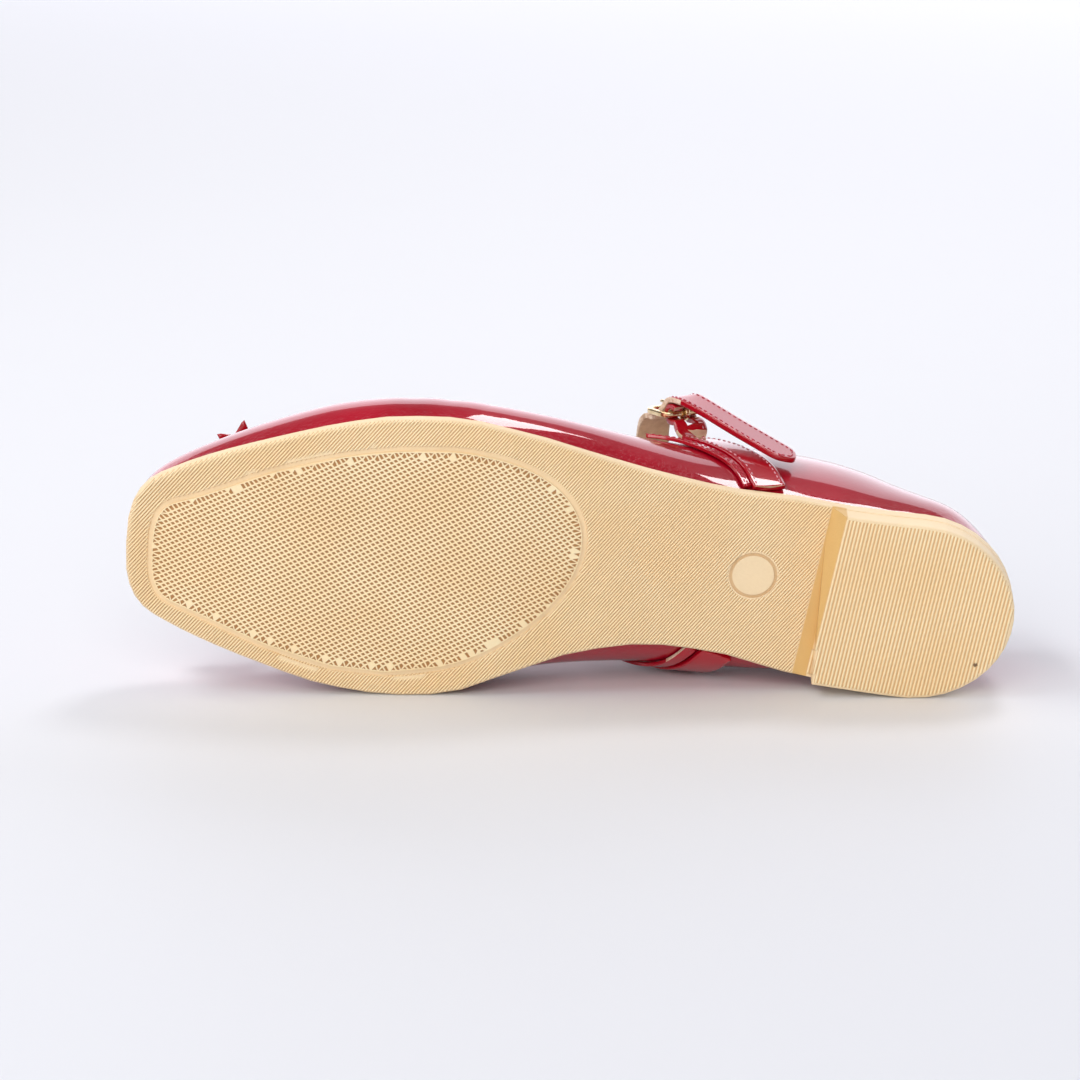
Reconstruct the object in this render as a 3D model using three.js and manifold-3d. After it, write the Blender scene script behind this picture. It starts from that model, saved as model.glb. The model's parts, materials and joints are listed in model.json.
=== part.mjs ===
// A woman's square toe mary jane flat, left foot, lying on its inner side. Millimetres.
// Shoe frame: +X from the heel back to the toe, +Y to the outer side, +Z up from the tread.
// Every solid is made in the shoe frame. The group at the end turns the shoe onto its side.

import * as THREE from 'three';
import { mergeVertices } from 'three/addons/utils/BufferGeometryUtils.js';
import { ConvexHull } from 'three/addons/math/ConvexHull.js';
import Module from 'manifold-3d';

const wasm = await Module();
wasm.setup();

// Outsole, in plan
const soleLength = 248.7;
const ballWidth = 83;
const waistWidth = 51;
const heelWidth = 52;
const toeWidth = 53.3;
const heelRound = 28;
const toeRound = 10;

// Outsole, from the side
const heelLift = 6.2;
const toeSpring = 5.5;
const soleEdge = 3;
const seatExtra = 1;
const edgeRound = 0.7;
const breastAt = 53;
const breastLean = 3.5;
const breastTurn = 7.1;
const heelEdgeRound = 0.6;
const mouldStep = 0.12;

// Forefoot panel and the round mark place
const panelBack = 121.8;
const panelFront = 241.2;
const moatWidth = 1.5;
const moatDepth = 0.5;
const markAlong = 73.4;
const markAcross = 5.4;
const markRadius = 6.3;
const markLine = 0.8;
const markDepth = 0.3;

// Upper
const backHeight = 50;
const sideHeight = 42;
const throatHeight = 36.6;
const throatSetback = 48.2;
const collarWidth = 59;
const wall = 1.7;
const featherInset = 0.8;

// Insole, bands, strap and buckle
const insoleThickness = 2;
const insolePlay = 0.6;
const strapWidth = 9.5;
const strapThickness = 1.6;
const stripWidth = 3.2;
const stripThickness = 1.1;
const strapRise = 15;
const strapEntry = 8.6;
const crestLean = 0.15;
const tailLength = 38;
const tailAround = 0.333;
const tailUp = 0.34;
const tipLeast = 0.22;
const foldTurn = 225;
const tailStandOff = 2;
const buckleWire = 1.8;
const buckleDepth = 1.6;
const buckleLength = 11.5;
const bucklePlay = 0.5;
const buckleOut = 7;
const buckleUp = 8.5;
const buckleForward = 5.5;
const prongRadius = 0.6;

// Bow
const bowSpan = 43;
const bowHeight = 7.4;
const bowRibbon = 9;
const bowThickness = 1;
const knotWidth = 5;
const knotOpening = 6.2;
const knotWall = 1.3;
const tailReach = 14;
const tailSpan = 54;
const tailLift = 0.1;
const tailNotch = 0.1;
const bowUp = 0.9;

// Clearance between pieces that touch, and the densities in grams per cubic millimetre
const gap = 0.3;
const ease = 0.12;
const rubber = 0.0012;
const leather = 0.0009;
const brass = 0.0085;

// How finely the skins are cut
const stations = 84;
const wallSteps = 9;

const opening = soleLength - throatSetback;

// The sole's outline: half widths on each side of the heel's centre line, at shares of its length.
const soleTable = [
  { at: 0.12, medial: 0.497 * heelWidth, lateral: 0.497 * heelWidth },
  { at: 0.19, medial: 0.473 * heelWidth, lateral: 0.512 * heelWidth },
  { at: 0.25, medial: 0.446 * heelWidth, lateral: 0.546 * heelWidth },
  { at: 0.32, medial: 0.372 * waistWidth, lateral: 0.580 * waistWidth },
  { at: 0.40, medial: 0.337 * waistWidth, lateral: 0.647 * waistWidth },
  { at: 0.48, medial: 0.397 * waistWidth, lateral: 0.741 * waistWidth },
  { at: 0.56, medial: 0.338 * ballWidth, lateral: 0.516 * ballWidth },
  { at: 0.64, medial: 0.432 * ballWidth, lateral: 0.552 * ballWidth },
  { at: 0.70, medial: 0.446 * ballWidth, lateral: 0.542 * ballWidth },
  { at: 0.76, medial: 0.431 * ballWidth, lateral: 0.506 * ballWidth },
  { at: 0.84, medial: 0.372 * ballWidth, lateral: 0.429 * ballWidth },
  { at: 0.92, medial: 0.462 * toeWidth, lateral: 0.520 * toeWidth },
  { at: 1.00, medial: 0.304 * toeWidth, lateral: 0.313 * toeWidth },
];

// The plate seen from the side: its underside over the tread plane, and its extra thickness.
const plateTable = [
  { at: 0.00, under: 1.00 * heelLift, extra: 1.00 * seatExtra },
  { at: 0.23, under: 1.00 * heelLift, extra: 0.85 * seatExtra },
  { at: 0.32, under: 0.86 * heelLift, extra: 0.40 * seatExtra },
  { at: 0.40, under: 0.65 * heelLift, extra: 0.15 * seatExtra },
  { at: 0.48, under: 0.37 * heelLift, extra: 0 },
  { at: 0.56, under: 0.11 * heelLift, extra: 0 },
  { at: 0.60, under: 0, extra: 0 },
  { at: 0.78, under: 0, extra: 0 },
  { at: 0.85, under: 0.17 * toeSpring, extra: 0 },
  { at: 0.92, under: 0.47 * toeSpring, extra: 0 },
  { at: 1.00, under: 1.00 * toeSpring, extra: 0 },
];

// The forefoot panel's outline, at shares of the sole's length.
const panelTable = [
  { at: 0.490, medial: 0.183 * ballWidth, lateral: 0.467 * ballWidth },
  { at: 0.563, medial: 0.248 * ballWidth, lateral: 0.447 * ballWidth },
  { at: 0.603, medial: 0.290 * ballWidth, lateral: 0.440 * ballWidth },
  { at: 0.640, medial: 0.329 * ballWidth, lateral: 0.442 * ballWidth },
  { at: 0.700, medial: 0.361 * ballWidth, lateral: 0.429 * ballWidth },
  { at: 0.760, medial: 0.354 * ballWidth, lateral: 0.395 * ballWidth },
  { at: 0.840, medial: 0.295 * ballWidth, lateral: 0.316 * ballWidth },
  { at: 0.920, medial: 0.207 * ballWidth, lateral: 0.202 * ballWidth },
  { at: 0.970, medial: 0.157 * ballWidth, lateral: 0.145 * ballWidth },
];
const panelBackRound = 35;
const panelFrontRound = 7;

// The topline and the way the wall rises to it, from the heel back (0) round to the toe (1).
// along, out, top: where the topline runs. flare and rise: the wall's start, out and up from the
// sole. shoulder and drop: its end, out and down from the topline.
const heelRow = {
  at: 0, along: 0.025 * opening, out: 0, top: 1.000 * backHeight,
  flare: 0.095 * sideHeight, rise: 0.30, shoulder: 0.07 * sideHeight, drop: 0.35,
};
const toeRow = {
  at: 1, along: 1 * opening, out: 0, top: 1 * throatHeight,
  flare: 0.08 * sideHeight, rise: 0.55, shoulder: 0.67 * sideHeight, drop: 0.31,
};
const lateralTable = mirrored([
  heelRow,
  { at: 0.10, along: 0.042 * opening, out: 0.100 * collarWidth, top: 0.996 * backHeight,
    flare: 0.020 * sideHeight, rise: 0.30, shoulder: 0.04 * sideHeight, drop: 0.36 },
  { at: 0.20, along: 0.110 * opening, out: 0.243 * collarWidth, top: 0.980 * backHeight,
    flare: 0.110 * sideHeight, rise: 0.30, shoulder: 0.17 * sideHeight, drop: 0.40 },
  { at: 0.30, along: 0.250 * opening, out: 0.444 * collarWidth, top: 0.940 * backHeight,
    flare: 0.100 * sideHeight, rise: 0.30, shoulder: 0.12 * sideHeight, drop: 0.40 },
  { at: 0.35, along: 0.339 * opening, out: 0.490 * collarWidth, top: 1.070 * sideHeight,
    flare: 0.095 * sideHeight, rise: 0.30, shoulder: 0.10 * sideHeight, drop: 0.40 },
  { at: 0.40, along: 0.439 * opening, out: 0.513 * collarWidth, top: 1.000 * sideHeight,
    flare: 0.110 * sideHeight, rise: 0.30, shoulder: 0.11 * sideHeight, drop: 0.40 },
  { at: 0.45, along: 0.534 * opening, out: 0.517 * collarWidth, top: 0.905 * sideHeight,
    flare: 0.145 * sideHeight, rise: 0.30, shoulder: 0.19 * sideHeight, drop: 0.40 },
  { at: 0.50, along: 0.628 * opening, out: 0.525 * collarWidth, top: 0.940 * throatHeight,
    flare: 0.170 * sideHeight, rise: 0.33, shoulder: 0.27 * sideHeight, drop: 0.35 },
  { at: 0.55, along: 0.728 * opening, out: 0.537 * collarWidth, top: 0.900 * throatHeight,
    flare: 0.150 * sideHeight, rise: 0.36, shoulder: 0.30 * sideHeight, drop: 0.25 },
  { at: 0.60, along: 0.813 * opening, out: 0.525 * collarWidth, top: 0.895 * throatHeight,
    flare: 0.140 * sideHeight, rise: 0.37, shoulder: 0.33 * sideHeight, drop: 0.20 },
  { at: 0.65, along: 0.885 * opening, out: 0.483 * collarWidth, top: 0.910 * throatHeight,
    flare: 0.140 * sideHeight, rise: 0.40, shoulder: 0.38 * sideHeight, drop: 0.18 },
  { at: 0.70, along: 0.940 * opening, out: 0.407 * collarWidth, top: 0.940 * throatHeight,
    flare: 0.145 * sideHeight, rise: 0.45, shoulder: 0.44 * sideHeight, drop: 0.20 },
  { at: 0.80, along: 0.985 * opening, out: 0.237 * collarWidth, top: 0.985 * throatHeight,
    flare: 0.140 * sideHeight, rise: 0.52, shoulder: 0.55 * sideHeight, drop: 0.26 },
  { at: 0.90, along: 0.9975 * opening, out: 0.110 * collarWidth, top: 0.998 * throatHeight,
    flare: 0.115 * sideHeight, rise: 0.55, shoulder: 0.64 * sideHeight, drop: 0.30 },
  toeRow,
]);
const medialTable = mirrored([
  heelRow,
  { at: 0.10, along: 0.042 * opening, out: 0.100 * collarWidth, top: 0.998 * backHeight,
    flare: 0.075 * sideHeight, rise: 0.30, shoulder: 0.08 * sideHeight, drop: 0.36 },
  { at: 0.20, along: 0.110 * opening, out: 0.243 * collarWidth, top: 0.990 * backHeight,
    flare: 0.040 * sideHeight, rise: 0.30, shoulder: 0.12 * sideHeight, drop: 0.40 },
  { at: 0.30, along: 0.250 * opening, out: 0.415 * collarWidth, top: 0.960 * backHeight,
    flare: 0.085 * sideHeight, rise: 0.28, shoulder: 0.09 * sideHeight, drop: 0.40 },
  { at: 0.35, along: 0.339 * opening, out: 0.466 * collarWidth, top: 1.107 * sideHeight,
    flare: 0.240 * sideHeight, rise: 0.22, shoulder: 0.14 * sideHeight, drop: 0.45 },
  { at: 0.40, along: 0.439 * opening, out: 0.483 * collarWidth, top: 1.048 * sideHeight,
    flare: 0.280 * sideHeight, rise: 0.20, shoulder: 0.155 * sideHeight, drop: 0.50 },
  { at: 0.45, along: 0.534 * opening, out: 0.483 * collarWidth, top: 0.952 * sideHeight,
    flare: 0.250 * sideHeight, rise: 0.20, shoulder: 0.15 * sideHeight, drop: 0.50 },
  { at: 0.50, along: 0.628 * opening, out: 0.490 * collarWidth, top: 0.990 * throatHeight,
    flare: 0.185 * sideHeight, rise: 0.24, shoulder: 0.19 * sideHeight, drop: 0.42 },
  { at: 0.55, along: 0.728 * opening, out: 0.500 * collarWidth, top: 0.940 * throatHeight,
    flare: 0.110 * sideHeight, rise: 0.30, shoulder: 0.22 * sideHeight, drop: 0.30 },
  { at: 0.60, along: 0.813 * opening, out: 0.483 * collarWidth, top: 0.925 * throatHeight,
    flare: 0.060 * sideHeight, rise: 0.35, shoulder: 0.25 * sideHeight, drop: 0.22 },
  { at: 0.65, along: 0.885 * opening, out: 0.440 * collarWidth, top: 0.925 * throatHeight,
    flare: 0.055 * sideHeight, rise: 0.38, shoulder: 0.31 * sideHeight, drop: 0.20 },
  { at: 0.70, along: 0.940 * opening, out: 0.365 * collarWidth, top: 0.950 * throatHeight,
    flare: 0.060 * sideHeight, rise: 0.43, shoulder: 0.36 * sideHeight, drop: 0.22 },
  { at: 0.80, along: 0.985 * opening, out: 0.203 * collarWidth, top: 0.987 * throatHeight,
    flare: 0.060 * sideHeight, rise: 0.50, shoulder: 0.48 * sideHeight, drop: 0.27 },
  { at: 0.90, along: 0.9975 * opening, out: 0.093 * collarWidth, top: 0.998 * throatHeight,
    flare: 0.060 * sideHeight, rise: 0.55, shoulder: 0.60 * sideHeight, drop: 0.30 },
  toeRow,
]);

// The long strap from the inner topline over the instep to the buckle: how far it stands off the
// straight line there, as shares of its rise, and how far its face leans to the outer side.
const instepTable = [
  { at: 0.25, toeward: -0.03, outward: -0.47, rise: 0.71, lean: -0.80 },
  { at: 0.50, toeward: -0.07, outward: 0.00, rise: 1.00, lean: 0.00 },
  { at: 0.75, toeward: 0.03, outward: 0.27, rise: 0.77, lean: 0.55 },
];

// The same strap through the buckle: its place up the frame as a share of the bars' distance from
// the middle, how far below or above the frame it lies, and how steeply it crosses.
const threadTable = [
  { up: 1.00, below: 1.00, above: 0.00, slope: 0.00 },
  { up: 0.50, below: 0.55, above: 0.00, slope: 0.55 },
  { up: -0.20, below: 0.00, above: 0.42, slope: 0.70 },
  { up: -0.62, below: 0.00, above: 0.86, slope: 0.30 },
];

// One half of the bow's tail: shares of its length, and half widths as shares of the ribbon's.
const bowTailTable = [
  { along: 0.00, half: 0.21 },
  { along: 0.35, half: 0.375 },
  { along: 1.00, half: 0.50 },
];

// The centre lines of the sewn bands and of the strips in front of them, on the wall's face:
// around is the place from heel back (0) to toe (1), up is the share of the wall's height.
const lateralBand = [
  { at: 0.00, around: 0.3590, up: 0.035 },
  { at: 0.35, around: 0.3700, up: 0.35 },
  { at: 0.70, around: 0.3890, up: 0.66 },
  { at: 1.00, around: 0.4110, up: 0.93 },
];
const lateralStrip = [
  { at: 0.00, around: 0.3765, up: 0.035, width: 0.70 * stripWidth },
  { at: 0.25, around: 0.3860, up: 0.30, width: 0.75 * stripWidth },
  { at: 0.50, around: 0.4050, up: 0.55, width: 0.95 * stripWidth },
  { at: 0.75, around: 0.4285, up: 0.78, width: 1.40 * stripWidth },
  { at: 1.00, around: 0.4440, up: 0.88, width: 1.90 * stripWidth },
];
const medialBand = [
  { at: 0.00, around: 0.3860, up: 0.035 },
  { at: 0.35, around: 0.3990, up: 0.35 },
  { at: 0.70, around: 0.4180, up: 0.68 },
  { at: 1.00, around: 0.4380, up: 0.985 },
];
const medialStrip = [
  { at: 0.00, around: 0.4070, up: 0.035, width: stripWidth },
  { at: 0.35, around: 0.4215, up: 0.35, width: stripWidth },
  { at: 0.70, around: 0.4430, up: 0.68, width: stripWidth },
  { at: 1.00, around: 0.4700, up: 0.96, width: stripWidth },
];

// A table's rows once more beyond both ends, mirrored, so that the wall runs on smoothly there.
function mirrored(rows) {
  const near = rows[1];
  const far = rows[rows.length - 2];
  return [{ ...near, at: -near.at, out: -near.out }, ...rows,
    { ...far, at: 2 - far.at, out: -far.out }];
}

// One column of a table, read smoothly between its rows and held beyond them.
function read(table, column, at) {
  const last = table.length - 2;
  let i = 0;
  while (i < last && at > table[i + 1].at) i += 1;
  const secant = (j) => (table[j + 1][column] - table[j][column]) / (table[j + 1].at - table[j].at);
  const slope = (j) => {
    if (j === 0) return secant(0);
    if (j > last) return secant(last);
    const before = secant(j - 1);
    const after = secant(j);
    return before * after > 0 ? (2 * before * after) / (before + after) : 0;
  };
  const width = table[i + 1].at - table[i].at;
  const t = THREE.MathUtils.clamp((at - table[i].at) / width, 0, 1);
  const start = table[i][column];
  const end = table[i + 1][column];
  const bend = (1 - t) * slope(i) * width - t * slope(i + 1) * width;
  const smooth = t * t * (3 - 2 * t);
  return start + (end - start) * smooth + t * (1 - t) * bend;
}

// How an outline's half width closes over a rounded end of the given depth.
function closing(distance, depth, power) {
  if (distance >= depth) return 1;
  const left = 1 - Math.max(distance, 0) / depth;
  return Math.pow(Math.max(1 - Math.pow(left, power), 0), 1 / power);
}

// A place on the way round: the share of the half turn from heel to toe, and the side.
function placed(turn) {
  const t = THREE.MathUtils.euclideanModulo(turn, 1);
  return t < 0.5 ? { around: 2 * t, side: -1 } : { around: 2 - 2 * t, side: 1 };
}

function loopPoint(turn, table, back, front, closings) {
  const { around, side } = placed(turn);
  const x = back + (front - back) * (1 - Math.cos(Math.PI * around)) / 2;
  const medial = read(table, 'medial', x / soleLength);
  const lateral = read(table, 'lateral', x / soleLength);
  const half = (lateral + medial) / 2 * closings(x);
  return new THREE.Vector2(x, (lateral - medial) / 2 + side * half);
}

// How square the rounded ends are: 2 is an ellipse, and more is squarer.
const round = 2;
const square = 3;

function solePoint(turn) {
  return loopPoint(turn, soleTable, 0, soleLength, (x) =>
    closing(x, heelRound, round) * closing(soleLength - x, toeRound, square));
}

function panelPoint(turn) {
  return loopPoint(turn, panelTable, panelBack, panelFront, (x) =>
    closing(x - panelBack, panelBackRound, round) * closing(panelFront - x, panelFrontRound, square));
}

function markPoint(turn) {
  const angle = 2 * Math.PI * turn;
  return new THREE.Vector2(markAlong - markRadius * Math.cos(angle),
    markAcross - markRadius * Math.sin(angle));
}

const tiny = 1e-3;

// The outward normal of a closed plan curve that runs anticlockwise.
function planNormal(curve, turn) {
  const run = curve(turn + tiny).sub(curve(turn - tiny)).normalize();
  return new THREE.Vector2(run.y, -run.x);
}

function insetPoint(curve, turn, inset) {
  return curve(turn).addScaledVector(planNormal(curve, turn), -inset);
}

const underside = (x) => read(plateTable, 'under', x / soleLength);
const topside = (x) => underside(x) + soleEdge + read(plateTable, 'extra', x / soleLength);

// The spine that the sole's rings close on.
const spineBack = heelRound;
const spineFront = soleLength - heelRound;

function spinePoint(x) {
  const along = THREE.MathUtils.clamp(x, spineBack, spineFront);
  const share = along / soleLength;
  const width = read(soleTable, 'lateral', share) - read(soleTable, 'medial', share);
  return new THREE.Vector2(along, width / 2);
}

const turns = Array.from({ length: stations }, (_, i) => i / stations);

// A ring of points at a share of the way from the spine to the inset outline.
function soleRing(share, inset, height) {
  return turns.map((turn) => {
    const edge = insetPoint(solePoint, turn, inset(solePoint(turn).x));
    const flat = spinePoint(solePoint(turn).x).lerp(edge, share);
    return new THREE.Vector3(flat.x, flat.y, height(flat.x));
  });
}

// A closed skin through rings of equal length. With closed false, its ends must already be shut.
function skin(rings, closed) {
  const count = rings[0].length;
  const positions = rings.flat().flatMap((p) => [p.x, p.y, p.z]);
  const index = [];
  const bands = closed ? rings.length : rings.length - 1;
  for (let r = 0; r < bands; r += 1) {
    const next = (r + 1) % rings.length;
    for (let i = 0; i < count; i += 1) {
      const j = (i + 1) % count;
      index.push(r * count + i, r * count + j, next * count + j);
      index.push(r * count + i, next * count + j, next * count + i);
    }
  }
  return tidy(positions, index);
}

// Merges shared points, drops faces without area and turns the faces outwards.
function tidy(positions, index) {
  const raw = new THREE.BufferGeometry();
  raw.setAttribute('position', new THREE.Float32BufferAttribute(positions, 3));
  raw.setIndex(index);
  const merged = mergeVertices(raw, tiny);
  const kept = [];
  const ids = merged.index.array;
  for (let i = 0; i < ids.length; i += 3) {
    const [a, b, c] = [ids[i], ids[i + 1], ids[i + 2]];
    if (a !== b && b !== c && c !== a) kept.push(a, b, c);
  }
  merged.setIndex(kept);
  if (volume(merged) < 0) merged.setIndex(kept.reverse());
  return merged;
}

const corner = (geometry, i) =>
  new THREE.Vector3().fromBufferAttribute(geometry.attributes.position, geometry.index.array[i]);

function volume(geometry) {
  let sum = 0;
  for (let i = 0; i < geometry.index.count; i += 3) {
    sum += corner(geometry, i).dot(corner(geometry, i + 1).cross(corner(geometry, i + 2))) / 6;
  }
  return sum;
}

function centre(geometry) {
  const sum = new THREE.Vector3();
  for (let i = 0; i < geometry.index.count; i += 3) {
    const [a, b, c] = [corner(geometry, i), corner(geometry, i + 1), corner(geometry, i + 2)];
    const part = a.dot(b.clone().cross(c)) / 6;
    sum.addScaledVector(a.add(b).add(c), part / 4);
  }
  return sum.divideScalar(volume(geometry));
}

function solid(geometry) {
  const bare = new THREE.BufferGeometry();
  bare.setAttribute('position', geometry.attributes.position);
  if (geometry.index) bare.setIndex(geometry.index);
  const merged = mergeVertices(bare, tiny);
  return new wasm.Manifold(new wasm.Mesh({
    numProp: 3,
    vertProperties: new Float32Array(merged.attributes.position.array),
    triVerts: new Uint32Array(merged.index.array),
  }));
}

function shape(manifold) {
  const mesh = manifold.getMesh();
  return tidy(Array.from(mesh.vertProperties), Array.from(mesh.triVerts));
}

// A groove in the sole's underside between two closed plan curves.
function groove(outer, inner, depth, count) {
  const steps = Array.from({ length: count }, (_, i) => i / count);
  const ring = (curve, lift) => steps.map((turn) => {
    const p = curve(turn);
    return new THREE.Vector3(p.x, p.y, underside(p.x) + lift);
  });
  const below = -1;
  return skin([ring(outer, depth), ring(outer, below), ring(inner, below), ring(inner, depth)], true);
}

// The plate: one skin from its top spine over the edge to its underside.
function plate() {
  const lowEdge = (x) => (x < breastAt + breastLean ? 0 : edgeRound);
  const none = () => 0;
  return skin([
    soleRing(0, none, topside),
    soleRing(0.5, none, topside),
    soleRing(1, none, topside),
    soleRing(1, none, (x) => underside(x) + lowEdge(x)),
    soleRing(1, lowEdge, underside),
    soleRing(0.5, none, underside),
    soleRing(0, none, underside),
  ], false);
}

// The heel block, whose front is the slanted and slightly turned breast.
function heelBlock() {
  const front = breastAt + 2 * breastLean;
  const points = turns.map((turn) => insetPoint(solePoint, turn + 0.5, mouldStep))
    .filter((p) => p.x < front);
  const height = heelLift + soleEdge / 2;
  const block = new THREE.ExtrudeGeometry(new THREE.Shape(points), {
    depth: height - 2 * heelEdgeRound,
    bevelThickness: heelEdgeRound,
    bevelSize: heelEdgeRound,
    bevelOffset: -heelEdgeRound,
    bevelSegments: 2,
  });
  block.translate(0, 0, heelEdgeRound);
  const reach = soleLength / 2;
  const slant = breastLean / heelLift;
  const cutShape = new THREE.Shape([
    new THREE.Vector2(-slant, -1),
    new THREE.Vector2(reach, -1),
    new THREE.Vector2(reach, heelLift),
    new THREE.Vector2(slant * heelLift, heelLift),
  ]);
  const cut = new THREE.ExtrudeGeometry(cutShape, { depth: reach, bevelEnabled: false });
  cut.translate(0, 0, -reach / 2);
  cut.rotateX(Math.PI / 2);
  cut.rotateZ(THREE.MathUtils.degToRad(breastTurn));
  cut.translate(breastAt, 0, 0);
  return solid(block).subtract(solid(cut));
}

function outsole() {
  const moat = groove(
    (turn) => insetPoint(panelPoint, turn, -moatWidth), panelPoint, moatDepth, stations);
  const mark = groove(
    (turn) => insetPoint(markPoint, turn, -markLine / 2),
    (turn) => insetPoint(markPoint, turn, markLine / 2), markDepth, stations / 3);
  return shape(solid(plate()).add(heelBlock()).subtract(solid(moat)).subtract(solid(mark)));
}

function insole() {
  const inset = () => featherInset + wall + insolePlay;
  const low = (x) => topside(x) + gap;
  const high = (x) => low(x) + insoleThickness;
  return skin([
    soleRing(0, inset, high),
    soleRing(0.5, inset, high),
    soleRing(1, inset, high),
    soleRing(1, inset, low),
    soleRing(0.5, inset, low),
    soleRing(0, inset, low),
  ], false);
}

// The feather line, where the wall leaves the sole.
function featherPoint(turn) {
  const flat = insetPoint(solePoint, turn, featherInset);
  return new THREE.Vector3(flat.x, flat.y, topside(flat.x) + gap);
}

const wallTable = (side) => (side < 0 ? medialTable : lateralTable);

function toplinePlan(turn) {
  const { around, side } = placed(turn);
  const table = wallTable(side);
  return new THREE.Vector2(read(table, 'along', around), side * read(table, 'out', around));
}

// A point of the wall's outer face: up runs from the sole (0) to the topline (1).
function wallPoint(turn, up) {
  const { around, side } = placed(turn);
  const value = (column) => read(wallTable(side), column, around);
  const start = featherPoint(turn);
  const plan = toplinePlan(turn);
  const end = new THREE.Vector3(plan.x, plan.y, value('top'));
  const climb = end.z - start.z;
  const outLow = planNormal(solePoint, turn).multiplyScalar(value('flare'));
  const outHigh = planNormal(toplinePlan, turn).multiplyScalar(value('shoulder'));
  const low = new THREE.Vector3(
    start.x + outLow.x, start.y + outLow.y, start.z + value('rise') * climb);
  const high = new THREE.Vector3(
    end.x + outHigh.x, end.y + outHigh.y, end.z - value('drop') * climb);
  return new THREE.CubicBezierCurve3(start, low, high, end).getPoint(up);
}

// The wall's face at a place: its point, its outward normal and its two run directions.
function onWall(turn, up) {
  const point = wallPoint(turn, up);
  const alongTurn = wallPoint(turn + tiny, up).sub(wallPoint(turn - tiny, up)).divideScalar(2 * tiny);
  const low = Math.max(up - tiny, 0);
  const high = Math.min(up + tiny, 1);
  const alongUp = wallPoint(turn, high).sub(wallPoint(turn, low)).divideScalar(high - low);
  const normal = alongTurn.clone().cross(alongUp).normalize();
  return { point, normal, alongTurn, alongUp };
}

function upper() {
  const levels = Array.from({ length: wallSteps + 1 }, (_, i) => i / wallSteps);
  const outer = levels.map((up) => turns.map((turn) => wallPoint(turn, up)));
  const inner = levels.map((up) => turns.map((turn) => {
    const face = onWall(turn, up);
    return face.point.addScaledVector(face.normal, -wall);
  }));
  return skin([...outer, ...inner.reverse()], true);
}

// A ribbon through rows of sections. A row holds points across its width and their normals.
function ribbon(rows, thickness) {
  const rings = rows.map((row) => {
    const far = row.map(({ point, normal }) => point.clone().addScaledVector(normal, thickness / 2));
    const near = row.map(({ point, normal }) => point.clone().addScaledVector(normal, -thickness / 2));
    return [...far, ...near.reverse()];
  });
  const cap = (ring) => {
    const middle = ring.reduce((sum, p) => sum.add(p), new THREE.Vector3()).divideScalar(ring.length);
    return ring.map(() => middle.clone());
  };
  return skin([cap(rings[0]), ...rings, cap(rings[rings.length - 1])], false);
}

const shares = (count) => Array.from({ length: count + 1 }, (_, i) => i / count);
const across = shares(3).map((share) => share - 0.5);
const bandShares = shares(14);
const foldShares = shares(9);
const foldSteps = 26;
const strapSteps = 80;
const lowestUp = 0.02;

// A band's section on the wall's face, at a share of its centre line.
function wallRow(path, side, at, width, thickness) {
  const turnOf = (share) => {
    const around = read(path, 'around', share);
    return side < 0 ? around / 2 : 1 - around / 2;
  };
  const upOf = (share) => read(path, 'up', share);
  const face = onWall(turnOf(at), upOf(at));
  const ahead = Math.min(at + tiny, 1);
  const back = Math.max(at - tiny, 0);
  const run = wallPoint(turnOf(ahead), upOf(ahead)).sub(wallPoint(turnOf(back), upOf(back)));
  const aside = face.normal.clone().cross(run.normalize());
  const uu = face.alongTurn.dot(face.alongTurn);
  const uv = face.alongTurn.dot(face.alongUp);
  const vv = face.alongUp.dot(face.alongUp);
  const su = aside.dot(face.alongTurn);
  const sv = aside.dot(face.alongUp);
  const det = uu * vv - uv * uv;
  const turnStep = (su * vv - sv * uv) / det;
  const upStep = (sv * uu - su * uv) / det;
  return across.map((share) => {
    const spot = onWall(turnOf(at) + turnStep * share * width,
      THREE.MathUtils.clamp(upOf(at) + upStep * share * width, lowestUp, 1));
    const point = spot.point.addScaledVector(spot.normal, gap + ease + thickness / 2);
    return { point, normal: spot.normal };
  });
}

// Sections of a free stretch through knots, each with its point and its outward normal.
function freeRows(knots, steps, width) {
  const curve = new THREE.CatmullRomCurve3(knots.map((knot) => knot.point), false, 'centripetal');
  const rows = [];
  for (let i = 1; i <= steps; i += 1) {
    const t = i / steps;
    const point = curve.getPoint(t);
    const run = curve.getTangent(t);
    const place = t * (knots.length - 1);
    const k = Math.min(Math.floor(place), knots.length - 2);
    const normal = knots[k].normal.clone().lerp(knots[k + 1].normal, place - k);
    normal.addScaledVector(run, -normal.dot(run)).normalize();
    const aside = normal.clone().cross(run);
    const half = width(point);
    rows.push(across.map((share) => ({
      point: point.clone().addScaledVector(aside, share * half), normal })));
  }
  return rows;
}

// The buckle's own axes: up along the strap, out from the shoe, and across the strap.
const lateralTop = onWall(1 - lateralBand[3].around / 2, 1);
const buckleUpAxis = new THREE.Vector3(0.55, -0.15, 0.82).normalize();
const buckleAcross = new THREE.Vector3(-0.82, 0, 0.55).normalize();
const buckleOutAxis = buckleAcross.clone().cross(buckleUpAxis);
const buckleCentre = lateralTop.point.clone()
  .add(new THREE.Vector3(buckleForward, buckleOut, buckleUp));
const buckleWidth = strapWidth + 2 * bucklePlay + 2 * buckleWire;
const barAt = buckleLength / 2 - buckleWire / 2;
const barRadius = Math.hypot(buckleWire, buckleDepth) / 2;
const loopRadius = barRadius + gap + strapThickness / 2;

// A place in the buckle's own axes: up the strap, and out from the frame's middle plane.
function atBuckle(up, out) {
  return buckleCentre.clone().addScaledVector(buckleUpAxis, up).addScaledVector(buckleOutAxis, out);
}

function strip(path, side) {
  const rows = bandShares.map((at) =>
    wallRow(path, side, at, read(path, 'width', at), stripThickness));
  return ribbon(rows, stripThickness);
}

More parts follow.
